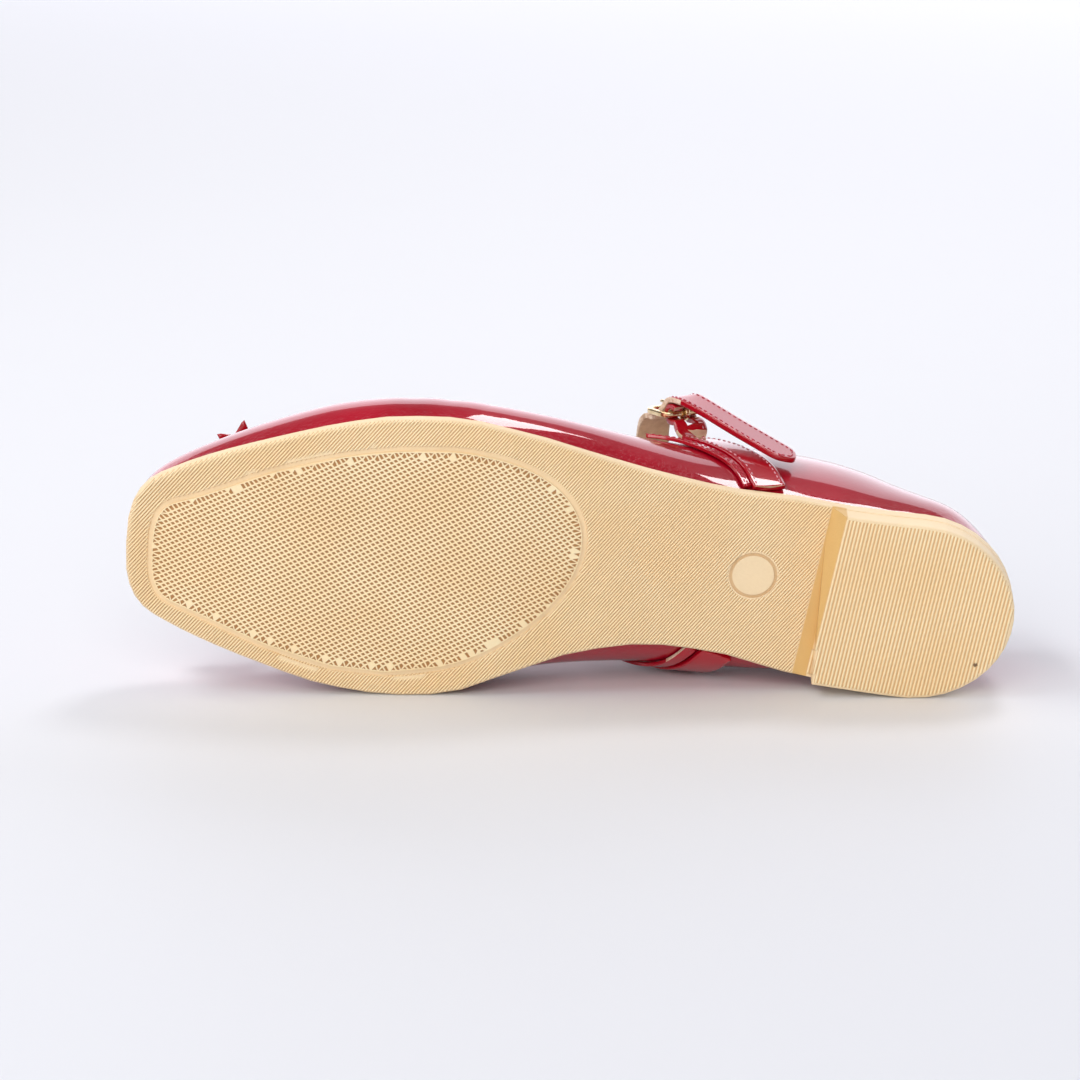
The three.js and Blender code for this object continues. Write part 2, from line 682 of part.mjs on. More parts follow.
// Middle of a row, for the free stretch that goes on from it.
function middleOf(row) {
  const point = row[0].point.clone().lerp(row[row.length - 1].point, 0.5);
  const normal = row[0].normal.clone().add(row[row.length - 1].normal).normalize();
  return { point, normal };
}

// The short strap: sewn up the outer side, then folded round the buckle's bar.
function strapShort() {
  const rows = bandShares.map((at) => wallRow(lateralBand, 1, at, strapWidth, strapThickness));
  const start = middleOf(rows[rows.length - 1]);
  const approach = { point: atBuckle(-barAt - loopRadius, -loopRadius), normal: buckleOutAxis };
  const folded = foldShares.map((share) => {
    const angle = share * THREE.MathUtils.degToRad(foldTurn);
    const normal = buckleUpAxis.clone().multiplyScalar(-Math.sin(angle))
      .addScaledVector(buckleOutAxis, Math.cos(angle));
    return { point: atBuckle(-barAt, 0).addScaledVector(normal, -loopRadius), normal };
  });
  const free = freeRows([start, approach, ...folded], foldSteps, () => strapWidth);
  const strap = solid(ribbon([...rows, ...free], strapThickness));
  const reach = 2 * (loopRadius + strapThickness);
  const slot = new THREE.BoxGeometry(4 * prongRadius + 2 * gap, reach, reach);
  slot.applyMatrix4(buckleMatrix(atBuckle(-barAt, 0)));
  return shape(strap.subtract(solid(slot)));
}

// The matrix that stands a shape made in the buckle's axes (across, up, out) at a place.
function buckleMatrix(place) {
  return new THREE.Matrix4().makeBasis(buckleAcross, buckleUpAxis, buckleOutAxis).setPosition(place);
}

// The long strap: sewn on the inner side, free over the instep, through the buckle to its tail.
function strapLong() {
  const rows = bandShares.map((at) => wallRow(medialBand, -1, at, strapWidth, strapThickness));
  const start = middleOf(rows[rows.length - 1]);
  const under = barRadius + gap + strapThickness / 2;
  const over = loopRadius + strapThickness + gap + ease;
  const enter = { point: atBuckle(strapEntry, -under - gap), normal: atSlope(1) };
  const crest = instepTable.map(({ at, toeward, outward, rise, lean }) => ({
    point: start.point.clone().lerp(enter.point, at)
      .add(new THREE.Vector3(toeward, outward, rise).multiplyScalar(strapRise)),
    normal: new THREE.Vector3(crestLean, lean, 1).normalize(),
  }));
  const threaded = threadTable.map(({ up, below, above, slope }) => ({
    point: atBuckle(up * barAt, above * over - below * under),
    normal: atSlope(slope),
  }));
  const tailStart = { point: atBuckle(-barAt - loopRadius, over), normal: buckleOutAxis };
  const tailSpot = onWall(1 - tailAround / 2, tailUp);
  const resting = tailSpot.point.clone()
    .addScaledVector(tailSpot.normal, gap + strapThickness / 2 + tailStandOff);
  const run = resting.sub(tailStart.point).normalize();
  const tip = {
    point: tailStart.point.clone().addScaledVector(run, tailLength),
    normal: buckleOutAxis,
  };
  const tailMiddle = {
    point: tailStart.point.clone().addScaledVector(run, tailLength / 2),
    normal: buckleOutAxis,
  };
  const knots = [start, ...crest, enter, ...threaded, tailStart, tailMiddle, tip];
  const width = (point) => strapWidth
    * Math.max(closing(point.distanceTo(tip.point), strapWidth / 2, round), tipLeast);
  const strap = solid(ribbon([...rows, ...freeRows(knots, strapSteps, width)], strapThickness));
  const hole = new THREE.CylinderGeometry(prongRadius + gap, prongRadius + gap, 3 * barAt, 12);
  hole.applyMatrix4(buckleMatrix(atBuckle(0, prongLine)));
  return shape(strap.subtract(solid(hole)));
}

// The outward normal of a strap that slants through the buckle.
function atSlope(lean) {
  return buckleOutAxis.clone().addScaledVector(buckleUpAxis, lean).normalize();
}

// How far out of the frame's middle plane the prong lies.
const prongLine = buckleDepth / 2 + gap + prongRadius;

// The points of a rectangle with round corners about the origin.
function roundedRect(width, height, radius) {
  const path = new THREE.Path();
  const w = width / 2 - radius;
  const h = height / 2 - radius;
  path.absarc(w, -h, radius, -Math.PI / 2, 0);
  path.absarc(w, h, radius, 0, Math.PI / 2);
  path.absarc(-w, h, radius, Math.PI / 2, Math.PI);
  path.absarc(-w, -h, radius, Math.PI, 1.5 * Math.PI);
  return path.getPoints(4);
}

function buckleFrame() {
  const outer = new THREE.Shape(roundedRect(buckleWidth, buckleLength, 1.8 * buckleWire));
  outer.holes.push(new THREE.Path(roundedRect(
    buckleWidth - 2 * buckleWire, buckleLength - 2 * buckleWire, 0.8 * buckleWire)));
  const bevel = buckleWire / 5;
  const frame = new THREE.ExtrudeGeometry(outer, {
    depth: buckleDepth - 2 * bevel,
    bevelThickness: bevel,
    bevelSize: bevel,
    bevelOffset: -bevel,
    bevelSegments: 2,
  });
  frame.translate(0, 0, bevel - buckleDepth / 2);
  frame.applyMatrix4(buckleMatrix(buckleCentre));
  return shape(solid(frame));
}

// The prong: an eye round the bar and a rod that rests on the frame's far side.
function buckleProng() {
  const eyeInner = barRadius + gap;
  const eyeOuter = eyeInner + prongRadius * 1.3;
  const eye = new THREE.Shape();
  eye.absarc(0, 0, eyeOuter, 0, 2 * Math.PI);
  const hole = new THREE.Path();
  hole.absarc(0, 0, eyeInner, 0, 2 * Math.PI);
  eye.holes.push(hole);
  const width = 2 * prongRadius;
  const ring = new THREE.ExtrudeGeometry(eye, { depth: width, bevelEnabled: false, curveSegments: 10 });
  ring.translate(0, 0, -width / 2);
  ring.rotateY(Math.PI / 2);
  ring.applyMatrix4(buckleMatrix(atBuckle(-barAt, 0)));
  const length = 2 * barAt + buckleWire;
  const rod = new THREE.CylinderGeometry(prongRadius * 0.85, prongRadius, length, 12);
  rod.applyMatrix4(buckleMatrix(atBuckle(buckleWire / 2, prongLine)));
  return shape(solid(ring).add(solid(rod)));
}

// The bow lies on the vamp just ahead of the throat. Its own axes: toe, outer side, up.
const bowSpot = onWall(0.5, bowUp);
const knotHeight = knotOpening * 0.7;
const bowPlace = bowSpot.point.clone()
  .addScaledVector(bowSpot.normal, gap + knotHeight / 2 + knotWall);
const bowPitch = Math.atan2(bowSpot.normal.x, bowSpot.normal.z);

// Half the loop's height at a share of its way out from the knot.
function loopRise(share) {
  const low = 0.36 * knotHeight;
  return low + (bowHeight / 2 - low) * Math.sin(share * Math.PI * 0.6);
}

// The loop's side view: its rim, drawn in by the given amount.
function loopRim(shrink) {
  const start = 0.3 * knotWidth;
  const half = (bowSpan / 2 - start) / 2;
  const count = 22;
  return Array.from({ length: count }, (_, i) => {
    const angle = 2 * Math.PI * i / count;
    const share = (1 + Math.cos(angle)) / 2;
    return new THREE.Vector2(start + half + (half - shrink) * Math.cos(angle),
      (loopRise(share) - shrink) * Math.sin(angle));
  });
}

function bowLoop(side) {
  const face = new THREE.Shape(loopRim(0));
  face.holes.push(new THREE.Path(loopRim(bowThickness)));
  const band = new THREE.ExtrudeGeometry(face, { depth: bowRibbon, bevelEnabled: false });
  band.translate(0, 0, -bowRibbon / 2);
  band.applyMatrix4(new THREE.Matrix4().makeBasis(
    new THREE.Vector3(0, side, 0), new THREE.Vector3(0, 0, 1), new THREE.Vector3(side, 0, 0)));
  const pinch = 0.85 * knotOpening / bowRibbon;
  moved(band, (p) => {
    p.x *= THREE.MathUtils.lerp(pinch, 1, Math.min(3.2 * Math.abs(p.y) / bowSpan, 1));
  });
  return solid(band);
}

function bowTail(side) {
  const end = new THREE.Vector2(tailReach, tailSpan / 2);
  const run = end.clone().normalize();
  const aside = new THREE.Vector2(run.y, -run.x);
  const spot = (along, half) => run.clone().multiplyScalar(along * end.length())
    .addScaledVector(aside, half * bowRibbon);
  const outline = [
    ...bowTailTable.map(({ along, half }) => spot(along, half)),
    spot(1 - tailNotch, 0),
    ...bowTailTable.map(({ along, half }) => spot(along, -half)).reverse(),
  ];
  const sheet = new THREE.ExtrudeGeometry(new THREE.Shape(outline.reverse()), {
    depth: bowThickness, bevelEnabled: false });
  sheet.translate(0, 0, -0.42 * knotHeight);
  moved(sheet, (p) => {
    p.z += tailLift * Math.abs(p.y);
    p.y *= side;
  });
  const { position } = sheet.attributes;
  return solid(tidy(Array.from(position.array), Array.from({ length: position.count }, (_, i) => i)));
}

function bowRibbonSolid() {
  const core = solid(new THREE.BoxGeometry(0.7 * knotOpening, knotWidth, 0.7 * knotHeight));
  const joined = [bowLoop(1), bowLoop(-1), bowTail(1), bowTail(-1)]
    .reduce((sum, part) => sum.add(part), core);
  const beside = (side) => {
    const box = new THREE.BoxGeometry(4 * tailReach, tailSpan, 4 * tailReach);
    box.translate(0, side * (tailSpan / 2 + knotWidth / 2 + gap), 0);
    return solid(box);
  };
  return shape(joined.intersect(solid(knotSection(-gap)).add(beside(1)).add(beside(-1))));
}

// Moves every point of a geometry by a rule.
function moved(geometry, rule) {
  const points = geometry.attributes.position;
  for (let i = 0; i < points.count; i += 1) {
    const p = new THREE.Vector3().fromBufferAttribute(points, i);
    rule(p);
    points.setXYZ(i, p.x, p.y, p.z);
  }
}

// The knot's section, grown by the given amount from its opening, as long as the wrap is wide.
function knotSection(grow, hole) {
  const corner = 0.45 * knotHeight + grow;
  const section = new THREE.Shape(
    roundedRect(knotOpening + 2 * grow, knotHeight + 2 * grow, corner));
  if (hole) section.holes.push(new THREE.Path(
    roundedRect(knotOpening, knotHeight, 0.45 * knotHeight)));
  const depth = hole ? knotWidth : knotWidth + 4 * gap;
  const body = new THREE.ExtrudeGeometry(section, { depth, bevelEnabled: false });
  body.translate(0, 0, -depth / 2);
  body.rotateX(Math.PI / 2);
  return body;
}

function bowKnot() {
  return shape(solid(knotSection(knotWall, true)));
}

function material(colour, roughness, metalness = 0) {
  return new THREE.MeshStandardMaterial({ color: colour, roughness, metalness });
}

const patentRed = 0xa80f24;
const moldedBeige = 0xf0cf98;
const sockBeige = 0xe3c9a6;
const paleGold = 0xd8bd8a;

const pieces = [
  { name: 'outsole', make: outsole, density: rubber, look: material(moldedBeige, 0.6) },
  { name: 'insole', make: insole, density: leather, look: material(sockBeige, 0.55) },
  { name: 'upper', make: upper, density: leather, look: material(patentRed, 0.12) },
  { name: 'edge_strip_lateral', make: () => strip(lateralStrip, 1), density: leather,
    look: material(patentRed, 0.12) },
  { name: 'edge_strip_medial', make: () => strip(medialStrip, -1), density: leather,
    look: material(patentRed, 0.12) },
  { name: 'strap_short', make: strapShort, density: leather, look: material(patentRed, 0.12) },
  { name: 'strap_long', make: strapLong, density: leather, look: material(patentRed, 0.12) },
  { name: 'buckle_frame', make: buckleFrame, density: brass, look: material(paleGold, 0.2, 1) },
  { name: 'buckle_prong', make: buckleProng, density: brass, look: material(paleGold, 0.2, 1) },
  { name: 'bow_ribbon', make: bowRibbonSolid, density: leather, look: material(patentRed, 0.12),
    place: bowPlace, pitch: bowPitch },
  { name: 'bow_knot', make: bowKnot, density: leather, look: material(patentRed, 0.12),
    place: bowPlace, pitch: bowPitch },
];

const shoe = new THREE.Group();
const weights = [];
for (const piece of pieces) {
  const mesh = new THREE.Mesh(piece.make(), piece.look);
  mesh.name = piece.name;
  if (piece.place) mesh.position.copy(piece.place);
  if (piece.pitch) mesh.rotation.y = piece.pitch;
  mesh.updateMatrix();
  weights.push({
    mass: volume(mesh.geometry) * piece.density,
    at: centre(mesh.geometry).applyMatrix4(mesh.matrix),
  });
  shoe.add(mesh);
}

// How the shoe comes to lie: on the face of its hull on the inner side that its weight is over.
function lyingBasis() {
  const total = weights.reduce((sum, part) => sum + part.mass, 0);
  const balance = weights.reduce(
    (sum, part) => sum.addScaledVector(part.at, part.mass / total), new THREE.Vector3());
  const points = shoe.children.flatMap((mesh) => {
    const held = mesh.geometry.attributes.position;
    return Array.from({ length: held.count }, (_, i) =>
      new THREE.Vector3().fromBufferAttribute(held, i).applyMatrix4(mesh.matrix));
  });
  const hull = new ConvexHull().setFromPoints(points);
  let best = { margin: -Infinity };
  for (const face of hull.faces) {
    if (face.normal.y > -0.8) continue;
    const [a, b, c] = [face.edge, face.edge.next, face.edge.prev].map((edge) => edge.head().point);
    const foot = balance.clone().addScaledVector(face.normal, -face.distanceToPoint(balance));
    const share = new THREE.Vector3();
    new THREE.Triangle(a, b, c).getBarycoord(foot, share);
    const margin = Math.min(share.x, share.y, share.z);
    if (margin > best.margin) best = { margin, normal: face.normal };
  }
  const up = best.normal.clone().negate();
  const heelward = new THREE.Vector3(-1, 0, 0).projectOnPlane(up).normalize();
  return new THREE.Matrix4().makeBasis(heelward, up.clone().cross(heelward), up).transpose();
}

const lying = new THREE.Group();
lying.add(shoe);
shoe.quaternion.setFromRotationMatrix(lyingBasis());
shoe.updateMatrixWorld(true);
const box = new THREE.Box3().setFromObject(shoe, true);
const middle = box.getCenter(new THREE.Vector3());
shoe.position.set(-middle.x, -middle.y, -box.min.z);

export default lying;
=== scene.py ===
# %% [markdown]
# A patent mary jane flat, lying on its inner side with its tread to the camera.
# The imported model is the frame: every solid there is in metres, on the floor. This lesson
# gives each solid a skin that can be seen close to, and adds what is too fine for the solids.

import json
import math

import bmesh
import bpy
from mathutils import Matrix, Vector
from mathutils.bvhtree import BVHTree
from mathutils.kdtree import KDTree


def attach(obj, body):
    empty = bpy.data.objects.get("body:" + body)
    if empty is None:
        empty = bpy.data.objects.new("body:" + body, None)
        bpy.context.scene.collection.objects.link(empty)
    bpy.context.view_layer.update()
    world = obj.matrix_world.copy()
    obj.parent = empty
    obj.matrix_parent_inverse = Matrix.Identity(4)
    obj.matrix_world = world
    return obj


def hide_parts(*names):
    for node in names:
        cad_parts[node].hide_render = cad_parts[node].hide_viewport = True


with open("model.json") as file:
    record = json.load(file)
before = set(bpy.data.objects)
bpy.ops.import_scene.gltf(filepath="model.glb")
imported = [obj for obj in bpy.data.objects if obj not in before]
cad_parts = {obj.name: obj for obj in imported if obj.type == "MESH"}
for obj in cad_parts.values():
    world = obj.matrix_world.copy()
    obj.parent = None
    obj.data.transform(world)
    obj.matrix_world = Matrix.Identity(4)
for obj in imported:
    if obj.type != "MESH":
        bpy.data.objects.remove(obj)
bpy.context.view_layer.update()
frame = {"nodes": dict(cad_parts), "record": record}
nodes = frame["nodes"]

# %% [markdown]
# The shoe's own axes come from the two flat tread mounts in the record: both lie in the plane
# of the tread, 25 and 172 mm from the heel's back. In these axes x runs to the toe, y to the
# outer side and z up from the tread, in millimetres. Fine parts are easiest to place in them.

# %% The shoe's axes
HEEL_MOUNT = Vector((25, 0, 0))
FOREFOOT_MOUNT = Vector((172, 4, 0))


def shoe_matrix(record):
    mounts = {m["name"]: m for m in record["mounts"]}
    heel = Vector(mounts["heel_tread"]["pos_m"])
    forefoot = Vector(mounts["forefoot_tread"]["pos_m"])
    up = -Vector(mounts["heel_tread"]["axis"]).normalized()
    step = FOREFOOT_MOUNT - HEEL_MOUNT
    turn = Matrix.Rotation(-math.atan2(step.y, step.x), 3, up)
    toe = (turn @ (forefoot - heel)).normalized()
    outer = up.cross(toe).normalized()
    axes = Matrix((toe, outer, up)).transposed().to_4x4()
    scale = Matrix.Diagonal((0.001, 0.001, 0.001, 1))
    origin = heel - axes.to_3x3() @ (HEEL_MOUNT * 0.001)
    return Matrix.Translation(origin) @ axes @ scale


SHOE = shoe_matrix(frame["record"])
TO_SHOE = SHOE.inverted()
MM = 0.001
print("heel back on the tread", [round(v, 4) for v in SHOE @ Vector((0, 0, 0))])

# %% [markdown]
# The camera comes first, because what shows from it matters most. The photo looks at the tread
# from in front, about 15 degrees above the floor, through a long lens.

# %% Camera
VIEW_DISTANCE = 1.125
VIEW_RISE = 15.1
VIEW_TURN = -0.77
TARGET = Vector((-0.00886, 0, 0.03815))
FOCAL_PIXELS = 3943.5
PHOTO_PIXELS = 1080


def add_camera():
    data = bpy.data.cameras.new("camera")
    data.sensor_width = 36
    data.lens = data.sensor_width * FOCAL_PIXELS / PHOTO_PIXELS
    camera = bpy.data.objects.new("camera", data)
    bpy.context.scene.collection.objects.link(camera)
    rise = math.radians(VIEW_RISE)
    turn = math.radians(VIEW_TURN)
    look = Vector((math.sin(turn) * math.cos(rise), math.cos(turn) * math.cos(rise), -math.sin(rise)))
    camera.location = TARGET - look * VIEW_DISTANCE
    camera.rotation_euler = look.to_track_quat("-Z", "Y").to_euler()
    bpy.context.scene.camera = camera
    return camera


camera = add_camera()
print("camera at", [round(v, 3) for v in camera.location])

# %% [markdown]
# A floor and soft lights. The floor is a pale sheet that runs out of sight. Patent shows what
# stands round it, so each light is also a reflection: a tall wide card behind gives the white
# edge, two boxes overhead the bright lines just above the sole, and the dim sky the deep red
# between them. A large box beside the camera lights the tread.

# %% Floor and lights
def add_floor():
    bm = bmesh.new()
    bmesh.ops.create_grid(bm, x_segments=1, y_segments=1, size=4)
    mesh = bpy.data.meshes.new("floor")
    bm.to_mesh(mesh)
    bm.free()
    floor = bpy.data.objects.new("floor", mesh)
    bpy.context.scene.collection.objects.link(floor)
    return floor


def add_light(name, place, aim, width, height, power, colour):
    data = bpy.data.lights.new(name, "AREA")
    data.shape = "RECTANGLE"
    data.size = width
    data.size_y = height
    data.energy = power
    data.color = colour
    light = bpy.data.objects.new(name, data)
    light.location = place
    light.rotation_euler = (Vector(aim) - Vector(place)).to_track_quat("-Z", "Y").to_euler()
    bpy.context.scene.collection.objects.link(light)
    return light


floor = add_floor()
lights = [
    add_light("card behind", (0.58, 1.6, 0.81), (0, 0, 0.81), 5.0, 1.6, 40, (0.93, 0.92, 1)),
    add_light("box at the toe", (-0.66, -0.2, 1.0), (0, 0, 0.04), 1.0, 0.3, 6, (1, 0.98, 0.99)),
    add_light("box overhead", (0.29, 0.42, 1.09), (0, 0, 0.04), 0.27, 0.31, 3, (1, 0.98, 0.99)),
    add_light("box in front", (-0.3, -1.5, 0.95), (0, 0, 0.04), 1.6, 1.0, 18.5, (1, 0.98, 0.96)),
]
world = bpy.data.worlds.new("studio")
bpy.context.scene.world = world
world.use_nodes = True
background = world.node_tree.nodes["Background"]
background.inputs["Color"].default_value = (0.90, 0.93, 1.0, 1)
background.inputs["Strength"].default_value = 0.2
bpy.context.scene.view_settings.view_transform = "Standard"
print("lights", [light.name for light in lights])

# %% [markdown]
# Materials are small sums over the object's coordinates. The class below wraps one socket, so
# that the sums read like plain arithmetic.

# %% Shader sums
class Value:
    """One socket of a shader tree, with arithmetic that adds the nodes for it."""

    def __init__(self, tree, socket):
        self.tree = tree
        self.socket = socket

    def node(self, kind, socket_name, settings=None, **inputs):
        made = self.tree.nodes.new(kind)
        for key, value in (settings or {}).items():
            setattr(made, key, value)
        for key, value in inputs.items():
            name = int(key[1:]) if key[0] == "i" and key[1:].isdigit() else key.replace("_", " ")
            self.feed(made.inputs[name], value)
        return Value(self.tree, made.outputs[socket_name])

    def feed(self, socket, value):
        if isinstance(value, Value):
            self.tree.links.new(value.socket, socket)
        else:
            socket.default_value = value

    def maths(self, operation, *values):
        inputs = {"i%d" % i: value for i, value in enumerate(values)}
        return self.node("ShaderNodeMath", 0, {"operation": operation}, **inputs)

    def __add__(self, other):
        return self.maths("ADD", self, other)

    def __radd__(self, other):
        return self.maths("ADD", other, self)

    def __sub__(self, other):
        return self.maths("SUBTRACT", self, other)

    def __rsub__(self, other):
        return self.maths("SUBTRACT", other, self)

    def __mul__(self, other):
        return self.maths("MULTIPLY", self, other)

    def __rmul__(self, other):
        return self.maths("MULTIPLY", other, self)

    def smooth(self, low, high):
        return self.node("ShaderNodeMapRange", 0, {"interpolation_type": "SMOOTHSTEP"},
                         Value=self, From_Min=low, From_Max=high)

    def dot(self, direction):
        return self.node("ShaderNodeVectorMath", 1, {"operation": "DOT_PRODUCT"},
                         i0=self, i1=tuple(direction))

    def distance(self, place):
        return self.node("ShaderNodeVectorMath", 1, {"operation": "DISTANCE"},
                         i0=self, i1=tuple(place))

    def noise(self, scale, detail=2.0, roughness=0.5):
        return self.node("ShaderNodeTexNoise", 0, None, Vector=self, Scale=scale,
                         Detail=detail, Roughness=roughness)

    def mix(self, first, second):
        return self.node("ShaderNodeMix", 2, {"data_type": "RGBA"}, i0=self, i6=first, i7=second)


class Paint:
    """A material with one principled shader, and the object's coordinates to drive it."""

    def __init__(self, name, **fixed):
        self.material = bpy.data.materials.new(name)
        self.material.use_nodes = True
        self.tree = self.material.node_tree
        self.shader = self.tree.nodes["Principled BSDF"]
        coords = self.tree.nodes.new("ShaderNodeTexCoord")
        self.place = Value(self.tree, coords.outputs["Object"])
        for name_of_input, value in fixed.items():
            self.shader.inputs[name_of_input.replace("_", " ")].default_value = value

    def attribute(self, name):
        made = self.tree.nodes.new("ShaderNodeAttribute")
        made.attribute_name = name
        return Value(self.tree, made.outputs["Fac"])

    def drive(self, name, value):
        self.tree.links.new(value.socket, self.shader.inputs[name])

    def bump(self, height, distance, strength=1.0):
        made = self.tree.nodes.new("ShaderNodeBump")
        made.inputs["Strength"].default_value = strength
        made.inputs["Distance"].default_value = distance
        self.tree.links.new(height.socket, made.inputs["Height"])
        self.tree.links.new(made.outputs["Normal"], self.shader.inputs["Normal"])


def colour(red, green, blue):
    """A colour as seen on a screen, from 0 to 255, turned linear."""
    def linear(v):
        v = v / 255
        return v / 12.92 if v <= 0.04045 else ((v + 0.055) / 1.055) ** 2.4
    return (linear(red), linear(green), linear(blue), 1)


# %% [markdown]
# The red patent is pigment under a clear, nearly smooth coat. A faint wide ripple and a fine
# orange peel break its reflections, and the pigment is a little darker in places.

# %% Patent leather
def patent_paint(name, deep, bright, ripple):
    paint = Paint(name, Roughness=0.3, Coat_Weight=1.0, Coat_Roughness=0.03, Coat_IOR=1.6)
    paint.shader.inputs["Specular IOR Level"].default_value = 0.1
    cloud = paint.place.noise(26, 3)
    paint.drive("Base Color", cloud.smooth(0.3, 0.75).mix(deep, bright))
    wide = paint.place.noise(60, 2)
    peel = paint.place.noise(900, 1)
    pleats = paint.attribute("lasting") * (paint.place.noise(430, 3, 0.6) - 0.5)
    paint.bump(wide * ripple + peel * 0.05 + pleats * 3.0, 0.0003)
    return paint.material


patent = patent_paint("patent red", colour(158, 0, 26), colour(184, 2, 38), 0.6)
patent_strap = patent_paint("strap red", colour(164, 0, 22), colour(190, 2, 32), 0.4)


def edge_paint():
    paint = Paint("cut edge", Roughness=0.75)
    grain = paint.place.noise(900, 4, 0.7)
    paint.drive("Base Color", grain.smooth(0.3, 0.7).mix(colour(214, 180, 150), colour(250, 232, 210)))
    paint.bump(grain, 0.0002)
    return paint.material


def lining_paint(name, low, high):
    paint = Paint(name, Roughness=0.6)
    grain = paint.place.noise(420, 4, 0.6)
    cloud = paint.place.noise(30, 2)
    paint.drive("Base Color", (cloud * 0.6 + grain * 0.4).smooth(0.35, 0.65).mix(low, high))
    paint.bump(grain, 0.0001)
    return paint.material


cut_edge = edge_paint()
lining = lining_paint("lining", colour(196, 164, 134), colour(222, 194, 164))
sock = lining_paint("sock", colour(206, 176, 144), colour(228, 202, 170))
print("leathers ready")

# %% [markdown]
# Moulded rubber: a warm beige with faint clouds and one small speck of dirt on the heel. Painted shade
# makes the grooves between the ribs and the pits darker than the tops, and the heel's breast darker.

# %% Rubber and metal
BREAST = Vector((53, 0))
BREAST_TURN = math.radians(7.1)
BREAST_RUN = 3.5
MARK = Vector((73.4, 5.4))
MARK_RING = (6.0, 6.6)


def shoe_axis(paint, axis):
    """One of the shoe's own axes in millimetres, from the object's coordinates."""
    row = TO_SHOE[axis]
    return paint.place.dot((row[0], row[1], row[2])) + row[3]


def rubber_paint(name, low, high, roughness):
    paint = Paint(name, Roughness=roughness, IOR=1.5)
    cloud = paint.place.noise(35, 3)
    fine = paint.place.noise(1400, 2)
    paint.drive("Base Color", (cloud * 0.75 + fine * 0.25).smooth(0.35, 0.65).mix(low, high))
    paint.drive("Roughness", fine.smooth(0.3, 0.7) * 0.12 + (roughness - 0.06))
    paint.bump(fine, 0.00005)
    return paint


def tread_paint(name, groove_shade):
    """Pale on the tops of ribs and walls, and painted shade, a darker colour, in the grooves beside
    them.
    """
    paint = rubber_paint(name, colour(254, 229, 182), colour(255, 237, 196), 0.5)
    top = Value(paint.tree, paint.shader.inputs["Base Color"].links[0].from_socket)
    # Painted shade: the lower the rubber lies, the nearer its colour comes to the groove's painted
    # shade.
    rise = paint.attribute("rise").smooth(0.2, 0.75)
    paint.drive("Base Color", rise.mix(groove_shade, top))
    return paint


def sole_paint():
    """Plain rubber with painted shade on the heel's breast, a darker, warmer band, and a faint ring at
    the round mark.
    """
    paint = rubber_paint("rubber", colour(244, 217, 174), colour(250, 225, 184), 0.55)
    plain = Value(paint.tree, paint.shader.inputs["Base Color"].links[0].from_socket)
    # Painted shade: the band on the breast, on the tread's side, is painted darker and more saturated,
    # as the breast slopes away into shade.
    ahead = (shoe_axis(paint, 0) - BREAST.x) * math.cos(BREAST_TURN)
    ahead = ahead + (shoe_axis(paint, 1) - BREAST.y) * math.sin(BREAST_TURN)
    band = ahead.smooth(-0.5, -0.1) * (1 - ahead.smooth(BREAST_RUN, BREAST_RUN + 0.5))
    tread_side = 1 - shoe_axis(paint, 2).smooth(6.5, 7.5)
    breast_painted_shade = (band * tread_side).mix(plain, colour(226, 184, 116))
    along = shoe_axis(paint, 0) - MARK.x
    across = shoe_axis(paint, 1) - MARK.y
    square = along * along + across * across
    inner, outer = MARK_RING
    ring = square.smooth((inner - 0.3) ** 2, inner ** 2)
    ring = ring * (1 - square.smooth(outer ** 2, (outer + 0.3) ** 2))
    paint.drive("Base Color", (ring * tread_side * 0.6).mix(breast_painted_shade, colour(206, 162, 106)))
    return paint.material


rubber = sole_paint()
# Each tread's second colour is painted shade: in the ribs' grooves, and darkest in the pits.
rib_rubber = tread_paint("ribbed rubber", colour(216, 174, 124)).material
pit_rubber = tread_paint("pitted rubber", colour(184, 134, 80)).material


def heel_tread_paint():
    # The heel ribs' groove colour is painted shade as well; the speck is dirt.
    paint = tread_paint("heel tread rubber", colour(226, 185, 132))
    speck = paint.place.distance(SHOE @ Vector((9.4, -13.9, -0.2))) + paint.place.noise(2500, 2) * 0.0006
    old = paint.shader.inputs["Base Color"].links[0].from_socket
    tread_with_shade = Value(paint.tree, old)
    paint.drive("Base Color", speck.smooth(0.0007, 0.0011).mix(colour(120, 92, 62), tread_with_shade))
    return paint.material


heel_rubber = heel_tread_paint()


def gold_paint():
    paint = Paint("pale gold", Metallic=1.0, Roughness=0.2)
    wear = paint.place.noise(240, 3)
    paint.drive("Base Color", wear.smooth(0.3, 0.7).mix(colour(222, 190, 140), colour(245, 222, 180)))
    paint.drive("Roughness", wear * 0.18 + 0.1)
    paint.bump(paint.place.noise(700, 2), 0.00006)
    return paint.material


gold = gold_paint()


def thread_paint(name, low, high):
    paint = Paint(name, Roughness=0.5)
    twist = paint.place.noise(2200, 2)
    paint.drive("Base Color", twist.smooth(0.3, 0.7).mix(low, high))
    paint.bump(twist, 0.00008)
    return paint.material


red_thread = thread_paint("red thread", colour(150, 20, 44), colour(206, 60, 84))
# Painted highlight: the band's thread is paler than the red thread, so that its colour carries the
# glints along the stitches as well as the thread.
thread_painted_glint = thread_paint("pink thread", colour(196, 96, 112), colour(244, 196, 204))


def floor_paint():
    paint = Paint("floor paper", Roughness=0.6)
    cloud = paint.place.noise(2, 2) * 0.1
    # Painted shade: the paper is painted darker and a little bluer towards the camera and near white far
    # off, for how the light falls on it.
    painted_falloff = (paint.place.dot((0, 1, 0)) + cloud).smooth(-0.5, 1.3)
    paint.drive("Base Color", painted_falloff.mix(colour(221, 223, 228), colour(253, 254, 255)))
    return paint.material


floor.data.materials.append(floor_paint())
print("materials", len(bpy.data.materials))

